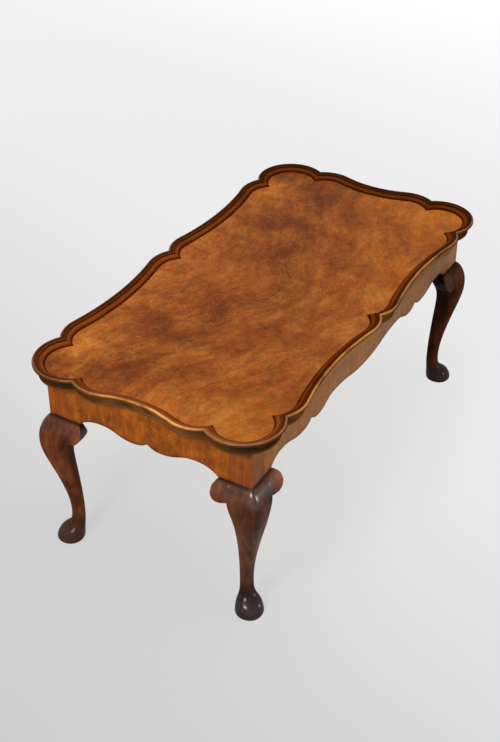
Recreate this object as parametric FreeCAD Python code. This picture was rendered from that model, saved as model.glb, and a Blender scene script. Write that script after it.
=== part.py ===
"""Tray top tea table: a piecrust tray on a frame of shaped rails with four cabriole legs.

X runs along the table, Y across it and Z up. The origin is on the floor under the middle of the top.
Front is -Y and left is -X. All lengths are in millimetres. Shares are plain ratios.
"""
import FreeCAD, Part
import math
import os

from FreeCAD import Vector

# Overall sizes
table_height = 374.0
top_length = 850.0
top_width = 446.0
end_overhang = 34.0
side_overhang = 33.5
rail_depth = 83.0

# Tray outline: equal round lobes that meet in cusps, and a shallow hollow along each side
lobe_radius = 66.0
cusp_share = 0.553
long_hollow_depth = 13.0
end_hollow_depth = 14.5

# Rim moulding: widths run inwards from its outer edge, heights upwards from its underside
rim_height = 20.0
tray_depth = 10.0
rim_width = 20.0
edge_cover = 13.0
cove_reach = 8.5
cove_foot = 3.5
nose_height = 5.5
nose_lip = 1.5
nose_round = 3.0
bead_width = 10.5
bead_fall = 2.2
bead_crown = 0.7
step_height = 2.0
ovolo_swell = 1.4
quirk_height = 1.0

# Sawn veneers
field_veneer = 1.2
rail_veneer = 1.5

# Posts, rails and their joints
post_size = 38.0
rail_thickness = 19.0
tenon_inset = 6.0
tenon_thickness = 8.0
tenon_gap = 2.0
tenon_foot = 16.0
tenon_head = 10.0

# Lower edge of the rails: heights above the knee line, and places along half the rail
crown_rise = 15.0
drop_rise = 2.0
notch_rise = 11.0
long_crown_share = 0.850
long_drop_share = 0.640
long_notch_share = 0.565
long_inner_drop_share = 0.493
long_inner_crown_share = 0.345
end_crown_share = 0.595
end_drop_share = 0.170
swell_share = 0.5
notch_lean_shares = (0.72, 0.38)
ear_lean_shares = (0.86, 0.55)

# Knee ears: a roll along the rail's foot with a rounded end
ear_width = 22.0
ear_end_swell = 6.5
ear_end_depth = 35.5
ear_end_return = 2.5
ear_depth = 39.0
ear_back = 10.0
ear_roll = 13.5
ear_roll_foot = 6.0
ear_root_share = 0.26

# Cabriole leg, from the knee line down: the height as a share of the knee height, the outer and
# inner edges along the corner's diagonal as shares of the post, and the rounding of the front,
# side and back corners as shares of half the section
leg_station_shares = (
    (1.000, 0.000, -1.414, 0.03, 0.03, 0.03),
    (0.988, 0.125, -1.400, 0.04, 0.04, 0.04),
    (0.974, 0.230, -1.380, 0.05, 0.05, 0.06),
    (0.952, 0.345, -1.375, 0.07, 0.07, 0.08),
    (0.915, 0.480, -1.330, 0.10, 0.11, 0.14),
    (0.866, 0.582, -1.190, 0.14, 0.18, 0.26),
    (0.800, 0.600, -0.965, 0.22, 0.30, 0.44),
    (0.735, 0.525, -0.850, 0.32, 0.48, 0.60),
    (0.650, 0.320, -0.862, 0.46, 0.70, 0.74),
    (0.535, 0.008, -0.948, 0.64, 0.90, 0.86),
    (0.430, -0.232, -1.012, 0.80, 0.95, 0.93),
    (0.320, -0.440, -1.075, 0.92, 0.97, 0.96),
    (0.210, -0.508, -1.095, 0.97, 0.97, 0.97),
    (0.145, -0.460, -1.080, 0.97, 0.97, 0.97),
    (0.113, -0.300, -1.056, 0.97, 0.97, 0.97),
    (0.092, -0.070, -1.038, 0.97, 0.97, 0.97),
    (0.066, 0.130, -1.024, 0.97, 0.97, 0.97),
    (0.037, 0.255, -1.013, 0.97, 0.97, 0.97),
    (0.014, 0.285, -0.995, 0.97, 0.97, 0.97),
    (0.000, 0.215, -0.915, 0.97, 0.97, 0.97),
)

# Glue blocks inside the frame
block_size = 22.0
block_length = 60.0
long_block_shares = (-0.6, 0.0, 0.6)
end_block_shares = (0.0,)

# Places worked out from the sizes above
post_corner_x = top_length / 2 - end_overhang
post_corner_y = top_width / 2 - side_overhang
rail_top = table_height - rim_height
knee_height = rail_top - rail_depth
field_height = table_height - tray_depth
lobe_x = top_length / 2 - lobe_radius
lobe_y = top_width / 2 - lobe_radius
cusp_spacing = cusp_share * lobe_radius
cusp_x = lobe_x - cusp_spacing
cusp_y = lobe_y - cusp_spacing
diagonal = math.sqrt(2)
up = Vector(0, 0, 1)


def solid(shape):
    """The one solid of a boolean's result."""
    return shape.removeSplitter().Solids[0]


def box(low, high):
    """A box between two opposite corners."""
    size = high - low
    return Part.makeBox(size.x, size.y, size.z, low)


def mirrored(shape, across_x, across_y):
    """The shape moved to another quarter of the table."""
    if across_x:
        shape = shape.mirror(Vector(0, 0, 0), Vector(1, 0, 0))
    if across_y:
        shape = shape.mirror(Vector(0, 0, 0), Vector(0, 1, 0))
    return shape


# Tray outline

def hollow(half_span, depth):
    """Radius of the hollow between two lobes, and the lean of the line through its end points."""
    reach = (half_span ** 2 + depth ** 2) / (2 * depth)
    lean = math.degrees(math.asin(half_span / reach))
    return reach - lobe_radius, lean


def mitre(inset):
    """Angle from a lobe's crest to its cusp, on the line that lies inset from the outer edge."""
    return math.degrees(math.asin(min(1, cusp_spacing / (lobe_radius - inset))))


def long_side_arcs(inset):
    """Arcs of half a long side, from its middle cusp to the corner's: centre, radius, angles, turn."""
    first_x = cusp_spacing
    last_x = cusp_x - cusp_spacing
    half_span = (last_x - first_x) / 2
    radius, lean = hollow(half_span, long_hollow_depth)
    hollow_centre = Vector(first_x + half_span, top_width / 2 - long_hollow_depth + radius, 0)
    return (
        (Vector(first_x, lobe_y, 0), lobe_radius, 90 - lean, 90 + mitre(inset), 1),
        (hollow_centre, radius, 270 - lean, 270 + lean, -1),
        (Vector(last_x, lobe_y, 0), lobe_radius, 90 - mitre(inset), 90 + lean, 1),
    )


def corner_arcs(inset):
    """The one arc of a corner lobe."""
    return ((Vector(lobe_x, lobe_y, 0), lobe_radius, -mitre(inset), 90 + mitre(inset), 1),)


def end_arcs(inset):
    """Arcs of a whole end, from one corner's cusp to the other's."""
    crest_y = cusp_y - cusp_spacing
    radius, lean = hollow(crest_y, end_hollow_depth)
    hollow_centre = Vector(top_length / 2 - end_hollow_depth + radius, 0, 0)
    return (
        (Vector(lobe_x, crest_y, 0), lobe_radius, -lean, mitre(inset), 1),
        (hollow_centre, radius, 180 - lean, 180 + lean, -1),
        (Vector(lobe_x, -crest_y, 0), lobe_radius, -mitre(inset), lean, 1),
    )


def arc_point(arc, inset, degrees, height):
    """A point on the line that lies inset from an outline arc."""
    centre, radius, _, _, turn = arc
    reach = radius - turn * inset
    angle = math.radians(degrees)
    return centre + Vector(reach * math.cos(angle), reach * math.sin(angle), height)


def outline_face(inset, height):
    """The tray's outline, moved in by an even inset, as a level face."""
    edges = []
    for arcs, turns in (
        (long_side_arcs(inset), ((False, False), (True, False), (False, True), (True, True))),
        (corner_arcs(inset), ((False, False), (True, False), (False, True), (True, True))),
        (end_arcs(inset), ((False, False), (True, False))),
    ):
        for arc in arcs:
            low, high = arc[2], arc[3]
            points = [arc_point(arc, inset, degrees, height) for degrees in (low, (low + high) / 2, high)]
            edge = Part.Arc(*points).toShape()
            edges += [mirrored(edge, across_x, across_y) for across_x, across_y in turns]
    return Part.Face(Part.Wire(Part.__sortEdges__(edges)))


def tray_sheet(inset, low, high):
    """A level sheet of the tray's outline between two heights."""
    return outline_face(inset, low).extrude(Vector(0, 0, high - low))


# Rim mouldings

def rim_section(place):
    """The moulding's cross section: place turns an inset and a height above the rail into a point."""
    cove_top = rim_height - nose_height
    seat = rim_height - tray_depth - field_veneer
    step_top = rim_height - bead_fall
    step_foot = step_top - step_height
    ovolo_foot = rim_height - tray_depth + quirk_height
    quarter = 1 / diagonal
    cove_middle = (
        nose_lip + (cove_reach - nose_lip) * quarter,
        cove_foot + (cove_top - cove_foot) * quarter,
    )
    nose_middle = (nose_round - nose_round * quarter, rim_height - nose_round + nose_round * quarter)
    bead_middle = ((nose_round + bead_width) / 2, rim_height - bead_fall / 2 + bead_crown)
    ovolo_middle = ((bead_width + rim_width) / 2, (step_foot + ovolo_foot) / 2 + ovolo_swell)
    corners = (
        (cove_reach, 0),
        (cove_reach, cove_foot),
        (nose_lip, cove_top),
        (0, cove_top),
        (0, rim_height - nose_round),
        (nose_round, rim_height),
        (bead_width, step_top),
        (bead_width, step_foot),
        (rim_width, ovolo_foot),
        (rim_width, seat),
        (edge_cover, seat),
        (edge_cover, 0),
    )
    bulges = {1: cove_middle, 4: nose_middle, 5: bead_middle, 7: ovolo_middle}
    edges = []
    for index, corner in enumerate(corners):
        start = place(*corner)
        end = place(*corners[(index + 1) % len(corners)])
        if index in bulges:
            edges.append(Part.Arc(start, place(*bulges[index]), end).toShape())
        else:
            edges.append(Part.makeLine(start, end))
    return Part.Face(Part.Wire(edges))


def swept_moulding(arc):
    """The moulding turned about the centre of one outline arc."""
    centre, _, low, high, _ = arc
    section = rim_section(lambda inset, height: arc_point(arc, inset, low, rail_top + height))
    return section.revolve(centre, up, high - low)


def rim_piece(arcs, low, high):
    """Mouldings along several arcs, joined and mitred to the upright planes of the cusps."""
    swept = [swept_moulding(arc) for arc in arcs]
    joined = swept[0].multiFuse(swept[1:]) if len(swept) > 1 else swept[0]
    return solid(joined.common(box(low, high)))


def rim_long_half():
    """Half of the back rim, right of the middle cusp."""
    low = Vector(0, 0, 0)
    high = Vector(cusp_x, top_width, table_height + rim_height)
    return rim_piece(long_side_arcs(rim_width), low, high)


def rim_corner():
    """The lobe at the back right corner."""
    low = Vector(cusp_x, cusp_y, 0)
    high = Vector(top_length, top_width, table_height + rim_height)
    return rim_piece(corner_arcs(rim_width), low, high)


def rim_end():
    """The rim of the right end."""
    low = Vector(0, -cusp_y, 0)
    high = Vector(top_length, cusp_y, table_height + rim_height)
    return rim_piece(end_arcs(rim_width), low, high)


# Rails

def long_place(along, out, height):
    """A point by the back rail: along from the table's middle, out from the rail's face."""
    return Vector(along, post_corner_y + out, height)


def end_place(along, out, height):
    """A point by the right rail."""
    return Vector(post_corner_x + out, along, height)


def curve(start, first_hold, second_hold, end):
    """A curve with two holding points."""
    bezier = Part.BezierCurve()
    bezier.setPoles([start, first_hold, second_hold, end])
    return bezier.toShape()


def swell(start, end):
    """Holding points of a wave from one level turning point to the next."""
    run = (end[0] - start[0]) * swell_share
    return (start[0] + run, start[1]), (end[0] - run, end[1])


def steep(start, end, shares):
    """Holding points of a curve that leaves level and ends steep."""
    along_share, fall_share = shares
    middle = start[0] + (end[0] - start[0]) * swell_share
    late = start[0] + (end[0] - start[0]) * along_share
    return (middle, start[1]), (late, start[1] + (end[1] - start[1]) * fall_share)


def half_foot(half, is_long):
    """Curves of half a rail's lower edge, from its middle to the ear: start, two holds and end."""
    crown = knee_height + crown_rise
    drop = knee_height + drop_rise
    notch = knee_height + notch_rise
    ear_end = (half - ear_width, knee_height)
    if is_long:
        middle = (0, drop)
        inner_crown = (half * long_inner_crown_share, crown)
        inner_drop = (half * long_inner_drop_share, drop)
        cusp = (half * long_notch_share, notch)
        outer_drop = (half * long_drop_share, drop)
        outer_crown = (half * long_crown_share, crown)
        inner_holds = steep(inner_drop, cusp, notch_lean_shares)
        outer_holds = steep(outer_drop, cusp, notch_lean_shares)[::-1]
        curves = [
            (middle, *swell(middle, inner_crown), inner_crown),
            (inner_crown, *swell(inner_crown, inner_drop), inner_drop),
            (inner_drop, *inner_holds, cusp),
            (cusp, *outer_holds, outer_drop),
            (outer_drop, *swell(outer_drop, outer_crown), outer_crown),
        ]
    else:
        cusp = (0, notch)
        outer_drop = (half * end_drop_share, drop)
        outer_crown = (half * end_crown_share, crown)
        outer_holds = steep(outer_drop, cusp, notch_lean_shares)[::-1]
        curves = [
            (cusp, *outer_holds, outer_drop),
            (outer_drop, *swell(outer_drop, outer_crown), outer_crown),
        ]
    curves.append((outer_crown, *steep(outer_crown, ear_end, ear_lean_shares), ear_end))
    return curves


def rail_sheet(place, half, is_long, out_low, out_high):
    """The rail's outline between the posts as a sheet, from one distance out to another."""
    edges = []
    for side in (1, -1):
        for points in half_foot(half, is_long):
            edges.append(curve(*[place(side * along, out_low, height) for along, height in points]))
        corners = ((half - ear_width, knee_height), (half, knee_height), (half, rail_top), (0, rail_top))
        for start, end in zip(corners, corners[1:]):
            start_point = place(side * start[0], out_low, start[1])
            end_point = place(side * end[0], out_low, end[1])
            edges.append(Part.makeLine(start_point, end_point))
    face = Part.Face(Part.Wire(Part.__sortEdges__(edges)))
    return face.extrude(place(0, out_high, 0) - place(0, out_low, 0))


def tenon(place, half, side):
    """A stub tenon on one end of a rail, reaching into the post."""
    length = post_size - tenon_inset - tenon_thickness - tenon_gap
    near = place(side * half, -tenon_inset - tenon_thickness, knee_height + tenon_foot)
    far = place(side * (half + length), -tenon_inset, rail_top - tenon_head)
    low = Vector(min(near.x, far.x), min(near.y, far.y), near.z)
    high = Vector(max(near.x, far.x), max(near.y, far.y), far.z)
    return box(low, high)


def rail_core(place, half, is_long):
    """A rail with a tenon on each end, behind its veneer."""
    sheet = rail_sheet(place, half, is_long, -rail_thickness, -rail_veneer)
    return solid(sheet.multiFuse([tenon(place, half, 1), tenon(place, half, -1)]))


# Legs and knee ears, modelled at the back right corner

def rounded_square(outer, inner, front_share, side_share, back_share, height):
    """A level section between an outer and an inner point on the corner's diagonal."""
    corner_cut = diagonal - 1
    spread = (outer - inner) / (diagonal - corner_cut * (front_share + back_share) / 2)
    front = front_share * spread / 2
    side = side_share * spread / 2
    back = back_share * spread / 2
    face_x = post_corner_x + (outer + corner_cut * front) / diagonal
    face_y = post_corner_y + (outer + corner_cut * front) / diagonal
    corners = ((1, 1, front), (0, 1, side), (0, 0, back), (1, 0, side))
    arcs = []
    for right, far, radius in corners:
        centre = Vector(
            face_x - radius if right else face_x - spread + radius,
            face_y - radius if far else face_y - spread + radius,
            height,
        )
        turn = {(1, 1): 0, (0, 1): 90, (0, 0): 180, (1, 0): 270}[(right, far)]
        points = []
        for degrees in (turn, turn + 45, turn + 90):
            angle = math.radians(degrees)
            points.append(centre + Vector(radius * math.cos(angle), radius * math.sin(angle), 0))
        arcs.append(points)
    edges = []
    for index, points in enumerate(arcs):
        edges.append(Part.Arc(*points).toShape())
        edges.append(Part.makeLine(points[2], arcs[(index + 1) % len(arcs)][0]))
    return Part.Wire(edges)


def leg():
    """A cabriole leg and its square post, with mortises for the two rails."""
    sections = []
    for height, outer, inner, front, side, back in reversed(leg_station_shares):
        section = rounded_square(
            outer * post_size, inner * post_size, front, side, back, height * knee_height
        )
        sections.append(section)
    shank = Part.makeLoft(sections, True, False)
    low = Vector(post_corner_x - post_size, post_corner_y - post_size, knee_height)
    high = Vector(post_corner_x, post_corner_y, rail_top)
    joined = shank.fuse(box(low, high))
    mortises = (
        tenon(long_place, post_corner_x - post_size, 1),
        tenon(end_place, post_corner_y - post_size, 1),
    )
    return solid(joined.cut(Part.makeCompound(mortises)))


def ear(place, half, leg_shape):
    """A knee ear: a roll under the rail with a rounded end, fitted to the leg's side."""
    root = post_size * ear_root_share
    end = half - ear_width

    def at(inward, out, fall):
        return place(half - inward, out, knee_height - fall)

    back = -ear_back
    top_root = at(-root, back, 0)
    top_end = at(ear_width, back, 0)
    low_end = at(ear_width - ear_end_return, back, ear_end_depth)
    low_root = at(-root, back, ear_depth)
    swell_point = at(ear_width + ear_end_swell, back, ear_end_depth / 2)
    contour = Part.Wire([
        Part.makeLine(top_root, top_end),
        Part.Arc(top_end, swell_point, low_end).toShape(),
        Part.makeLine(low_end, low_root),
        Part.makeLine(low_root, top_root),
    ])
    depth = place(end, ear_roll + ear_back, 0) - place(end, 0, 0)
    lobe = Part.Face(contour).extrude(depth)
    roll_top = at(-root, 0, 0)
    roll_foot = at(-root, ear_roll_foot, ear_depth)
    back_foot = at(-root, back, ear_depth)
    roll_middle = at(-root, ear_roll, ear_depth / 2)
    profile = Part.Wire([
        Part.makeLine(top_root, roll_top),
        Part.Arc(roll_top, roll_middle, roll_foot).toShape(),
        Part.makeLine(roll_foot, back_foot),
        Part.makeLine(back_foot, top_root),
    ])
    length = place(end - ear_end_swell, 0, 0) - place(half + root, 0, 0)
    roll = Part.Face(profile).extrude(length)
    return solid(lobe.common(roll).cut(leg_shape))


# Glue blocks

def glue_block(place, along):
    """A three-sided block rubbed into the corner between a rail and the top."""
    start = along - block_length / 2
    corner = place(start, -rail_thickness, rail_top)
    inward = place(start, -rail_thickness - block_size, rail_top)
    down = place(start, -rail_thickness, rail_top - block_size)
    face = Part.Face(Part.makePolygon([corner, inward, down, corner]))
    return face.extrude(place(block_length, 0, 0) - place(0, 0, 0))


# The whole table

def build_tray(nodes):
    """The panel, its veneer and the ten mouldings of the rim."""
    panel_top = field_height - field_veneer
    nodes["top_panel"] = tray_sheet(edge_cover, rail_top, panel_top)
    nodes["field_veneer"] = tray_sheet(rim_width, panel_top, field_height)
    corner = rim_corner()
    half = rim_long_half()
    end = rim_end()
    for row, across_y in (("back", False), ("front", True)):
        for column, across_x in (("right", False), ("left", True)):
            nodes[f"rim_corner_{row}_{column}"] = mirrored(corner, across_x, across_y)
            nodes[f"rim_{row}_{column}_half"] = mirrored(half, across_x, across_y)
    nodes["rim_right_end"] = end
    nodes["rim_left_end"] = mirrored(end, True, False)


def build_frame(nodes):
    """Rails with their veneers and glue blocks."""
    long_half = post_corner_x - post_size
    end_half = post_corner_y - post_size
    sides = (
        (long_place, long_half, True, long_block_shares, ("back", "front"), (False, True)),
        (end_place, end_half, False, end_block_shares, ("right", "left"), (True, False)),
    )
    for place, half, is_long, block_shares, names, far_turn in sides:
        core = rail_core(place, half, is_long)
        veneer = rail_sheet(place, half, is_long, -rail_veneer, 0)
        for name, turn in zip(names, ((False, False), far_turn)):
            nodes[f"rail_{name}"] = mirrored(core, *turn)
            nodes[f"apron_veneer_{name}"] = mirrored(veneer, *turn)
            for number, share in enumerate(block_shares, 1):
                block = glue_block(place, half * share)
                nodes[f"glue_block_{name}_{number}"] = mirrored(block, *turn)


def build_legs(nodes):
    """Four legs and the two ears beside each knee."""
    base_leg = leg()
    long_ear = ear(long_place, post_corner_x - post_size, base_leg)
    end_ear = ear(end_place, post_corner_y - post_size, base_leg)
    for row, across_y in (("back", False), ("front", True)):
        for column, across_x in (("right", False), ("left", True)):
            nodes[f"leg_{row}_{column}"] = mirrored(base_leg, across_x, across_y)
            nodes[f"ear_{row}_{column}_long"] = mirrored(long_ear, across_x, across_y)
            nodes[f"ear_{row}_{column}_end"] = mirrored(end_ear, across_x, across_y)


def main():
    os.makedirs("parts", exist_ok=True)
    nodes = {}
    build_tray(nodes)
    build_frame(nodes)
    build_legs(nodes)
    for name, shape in nodes.items():
        shape.exportStep(f"parts/{name}.step")


main()
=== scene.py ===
"""Tray top tea table: polished walnut over the construction frame."""

import math

import bmesh
import bpy
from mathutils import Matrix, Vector
from mathutils.geometry import interpolate_bezier


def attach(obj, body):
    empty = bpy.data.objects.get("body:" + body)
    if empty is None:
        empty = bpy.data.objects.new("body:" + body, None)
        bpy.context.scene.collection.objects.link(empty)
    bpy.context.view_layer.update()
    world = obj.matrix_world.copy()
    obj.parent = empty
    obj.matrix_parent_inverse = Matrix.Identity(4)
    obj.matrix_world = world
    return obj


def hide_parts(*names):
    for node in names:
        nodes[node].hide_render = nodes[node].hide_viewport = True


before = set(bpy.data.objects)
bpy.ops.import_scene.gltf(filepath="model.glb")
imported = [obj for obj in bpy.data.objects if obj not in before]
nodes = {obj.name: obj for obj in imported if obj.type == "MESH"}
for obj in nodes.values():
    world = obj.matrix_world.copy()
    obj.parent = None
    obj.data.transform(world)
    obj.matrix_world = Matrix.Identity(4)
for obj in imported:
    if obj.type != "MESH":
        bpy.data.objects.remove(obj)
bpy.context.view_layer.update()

mm = 0.001
up = Vector((0, 0, 1))

# Tray
table_height = 374 * mm
rim_height = 20 * mm
rail_top = table_height - rim_height
half_length = 425 * mm
half_width = 223 * mm
lobe_radius = 66 * mm
cusp_spacing = 0.553 * lobe_radius
long_hollow_depth = 13 * mm
end_hollow_depth = 14.5 * mm
rim_width = 20 * mm
lobe_x = half_length - lobe_radius
lobe_y = half_width - lobe_radius
cusp_x = lobe_x - cusp_spacing
cusp_y = lobe_y - cusp_spacing

# Frame
post_corner_x = 391 * mm
post_corner_y = 189.5 * mm
post_size = 38 * mm
half_long_rail = post_corner_x - post_size
half_end_rail = post_corner_y - post_size
knee_height = 271 * mm
apron_thickness = 1.5 * mm
apron_arris = 0.5 * mm
ear_width = 22 * mm

# The table's quarters, and how a mesh made for the back right one is turned to reach each
quarters = (
    ("back", "right", 1, 1), ("back", "left", -1, 1), ("front", "right", 1, -1), ("front", "left", -1, -1),
)


def on_long_rail(along, out, height):
    """A point on the back rail's face, or out from it."""
    return Vector((along, post_corner_y + out, height))


def on_end_rail(along, out, height):
    """A point on the right end rail's face, or out from it."""
    return Vector((post_corner_x + out, along, height))


# Meshes

def piece(name, bm, material, replaced, smooth_angle=40, subdivisions=0):
    """A finished mesh as an object that stands for its construction nodes."""
    mesh = bpy.data.meshes.new(name)
    bm.to_mesh(mesh)
    bm.free()
    mesh.polygons.foreach_set("use_smooth", [True] * len(mesh.polygons))
    if smooth_angle:
        mesh.set_sharp_from_angle(angle=math.radians(smooth_angle))
    mesh.materials.append(material)
    made = bpy.data.objects.new(name, mesh)
    bpy.context.scene.collection.objects.link(made)
    if subdivisions:
        smoother = made.modifiers.new("smooth", "SUBSURF")
        smoother.levels = subdivisions
        smoother.render_levels = subdivisions
    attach(made, "root")
    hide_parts(*replaced)


def turned_copy(bm, across_x, across_y):
    """A copy of a mesh moved to another quarter of the table, facing outwards."""
    other = bm.copy()
    bmesh.ops.scale(other, vec=(across_x, across_y, 1), verts=other.verts)
    bmesh.ops.recalc_face_normals(other, faces=other.faces)
    return other


def at_angle(centre, reach, degrees, height):
    """A point round a centre."""
    angle = math.radians(degrees)
    return Vector((centre[0] + reach * math.cos(angle), centre[1] + reach * math.sin(angle), height))


# Rim mouldings: insets from the outer edge and heights over the rails, in millimetres
rim_lip = 5
rim_back = 13
field_seat = 8.8
run_count = 6.0

# Degrees swept past a mitre before it is cut, and the turn of one swept step
mitre_overrun = 2
spin_step = math.radians(2.2)


def quarter_run(centre, across, rise, start, end, steps):
    """Points of a quarter round or hollow: inset and height in millimetres."""
    run = []
    for step in range(steps + 1):
        angle = math.radians(start + (end - start) * step / steps)
        run.append((centre[0] + across * math.cos(angle), centre[1] + rise * math.sin(angle)))
    return run


def rim_runs():
    """The moulding's cross section as runs from its foot over the top to the field."""
    cove = [(8.5, -rim_lip), (8.5, -1.6), (8.35, -1.1)] + quarter_run((1.5, -1.0), 7.0, 15.5, 6, 90, 8)
    nose = [(0.75, 14.5), (0.28, 14.7), (0.0, 15.2)] + quarter_run((3.0, 17.0), 3.0, 3.0, 180, 90, 6)
    bead = [(4.6, 20.0), (6.3, 19.72), (7.9, 19.2), (9.2, 18.55), (10.05, 17.9), (10.45, 17.3)]
    step = [(10.5, 16.6), (10.5, 15.8)]
    ovolo = [
        (11.2, 15.85), (12.6, 15.7), (14.2, 15.2), (15.9, 14.4), (17.5, 13.3), (18.8, 12.2), (19.7, 11.2),
    ]
    quirk = [(20.0, 10.5), (20.0, field_seat)]
    return cove, nose, bead, step, ovolo, quirk


def start_section(bm, centre, degrees):
    """The cross section at the start of a moulding, as a closed loop; its band counts the runs."""
    band = bm.verts.layers.float.new("band")
    rows = []
    for number, run in enumerate(rim_runs()):
        for index, (inset, height) in enumerate(run):
            rows.append((inset, height, number + (index + 1) / len(run)))
    rows += [(rim_back, field_seat, run_count), (rim_back, -rim_lip, 0.0)]
    verts = []
    for inset, height, value in rows:
        vert = bm.verts.new(at_angle(centre, lobe_radius - inset * mm, degrees, rail_top + height * mm))
        vert[band] = value
        verts.append(vert)
    return [bm.edges.new((verts[i - 1], verts[i])) for i in range(len(verts))]


def follow(bm, edges, centre, degrees):
    """Sweeps a section round an upright axis and returns its last edges."""
    angle = math.radians(degrees)
    swept = bmesh.ops.spin(
        bm, geom=edges, cent=(centre[0], centre[1], 0), axis=up, angle=angle,
        steps=max(3, round(abs(angle) / spin_step)), use_merge=False, use_duplicate=False,
    )
    return [item for item in swept["geom_last"] if isinstance(item, bmesh.types.BMEdge)]


def hollow(half_span, depth):
    """Radius of the hollow between two lobes, and the lean of the line through its ends."""
    reach = (half_span ** 2 + depth ** 2) / (2 * depth)
    return reach - lobe_radius, math.degrees(math.asin(half_span / reach))


def mitred(bm, planes):
    """Cuts a moulding at upright planes, closes the cuts and turns its faces outwards."""
    for place, outwards in planes:
        geometry = bm.verts[:] + bm.edges[:] + bm.faces[:]
        cut = bmesh.ops.bisect_plane(
            bm, geom=geometry, dist=1e-7, plane_co=place, plane_no=outwards, clear_outer=True
        )
        rim = [item for item in cut["geom_cut"] if isinstance(item, bmesh.types.BMEdge)]
        bmesh.ops.triangle_fill(bm, edges=rim, use_beauty=True)
    bmesh.ops.recalc_face_normals(bm, faces=bm.faces)


mitre = math.degrees(math.asin(cusp_spacing / (lobe_radius - rim_width))) + mitre_overrun


def long_rim():
    """Half of the back rim, right of the middle cusp."""
    first, last = (cusp_spacing, lobe_y), (cusp_x - cusp_spacing, lobe_y)
    half_span = (last[0] - first[0]) / 2
    radius, lean = hollow(half_span, long_hollow_depth)
    middle = (first[0] + half_span, half_width - long_hollow_depth + radius)
    bm = bmesh.new()
    edges = start_section(bm, first, 90 + mitre)
    edges = follow(bm, edges, first, -mitre - lean)
    edges = follow(bm, edges, middle, 2 * lean)
    follow(bm, edges, last, -mitre - lean)
    mitred(bm, (((0, 0, 0), (-1, 0, 0)), ((cusp_x, 0, 0), (1, 0, 0))))
    return bm


def corner_rim():
    """The lobe at the back right corner."""
    bm = bmesh.new()
    edges = start_section(bm, (lobe_x, lobe_y), 90 + mitre)
    follow(bm, edges, (lobe_x, lobe_y), -90 - 2 * mitre)
    mitred(bm, (((cusp_x, 0, 0), (-1, 0, 0)), ((0, cusp_y, 0), (0, -1, 0))))
    return bm


def end_rim():
    """The rim of the right end."""
    crest_y = cusp_y - cusp_spacing
    radius, lean = hollow(crest_y, end_hollow_depth)
    bm = bmesh.new()
    edges = start_section(bm, (lobe_x, crest_y), mitre)
    edges = follow(bm, edges, (lobe_x, crest_y), -mitre - lean)
    edges = follow(bm, edges, (half_length - end_hollow_depth + radius, 0), 2 * lean)
    follow(bm, edges, (lobe_x, -crest_y), -mitre - lean)
    mitred(bm, (((0, cusp_y, 0), (0, 1, 0)), ((0, -cusp_y, 0), (0, -1, 0))))
    return bm


def make_rims(material):
    """Ten mouldings."""
    side, corner, end = long_rim(), corner_rim(), end_rim()
    for row, column, across_x, across_y in quarters:
        made = turned_copy(side, across_x, across_y)
        piece(f"moulding_{row}_{column}", made, material, [f"rim_{row}_{column}_half"])
        made = turned_copy(corner, across_x, across_y)
        piece(f"lobe_{row}_{column}", made, material, [f"rim_corner_{row}_{column}"])
    for column, across_x in (("right", 1), ("left", -1)):
        made = turned_copy(end, across_x, 1)
        piece(f"moulding_{column}_end", made, material, [f"rim_{column}_end"])
    for bm in (side, corner, end):
        bm.free()


# Field: the bands along its edge, each with its width in millimetres and the share of old wax and painted
# shade left at its inner side
field_margin = ((2.5, 0.5), (6.0, 0.0))


def make_field(material):
    """The veneer sheet, with a margin along the rim where old wax has gathered and shade is painted."""
    bm = bmesh.new()
    bm.from_mesh(nodes["field_veneer"].data)
    bmesh.ops.dissolve_limit(bm, angle_limit=math.radians(0.5), verts=bm.verts, edges=bm.edges)
    margin = bm.verts.layers.float.new("margin")
    top = max(bm.faces, key=lambda face: face.normal.z * face.calc_area())
    for vert in bm.verts:
        vert[margin] = 1.0
    for width, share in field_margin:
        bmesh.ops.inset_region(bm, faces=[top], thickness=width * mm, use_even_offset=True)
        for vert in top.verts:
            vert[margin] = share
    piece("field_sheet", bm, material, ["field_veneer"])


# Aprons: where the lower edge turns, as shares of half a rail, its rises over the knee line in millimetres,
# how its hooks bend, and the shares of an apron's height at its rows of vertices
long_turns = (0.345, 0.493, 0.565, 0.640, 0.850)
end_turns = (0.170, 0.595)
crown_rise, drop_rise, notch_rise = 15, 2, 11
notch_bend = (0.72, 0.38)
ear_bend = (0.86, 0.55)
apron_rows = (0.06, 0.16, 0.4, 1.0)
curve_points = 14


def wave(start, end):
    """A curve between two level turning points."""
    run = (end[0] - start[0]) / 2
    return start, (start[0] + run, start[1]), (end[0] - run, end[1]), end


def hook(start, end, along, fall):
    """A curve that leaves level and ends steep."""
    middle = start[0] + (end[0] - start[0]) / 2
    late = start[0] + (end[0] - start[0]) * along
    return start, (middle, start[1]), (late, start[1] + (end[1] - start[1]) * fall), end


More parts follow.
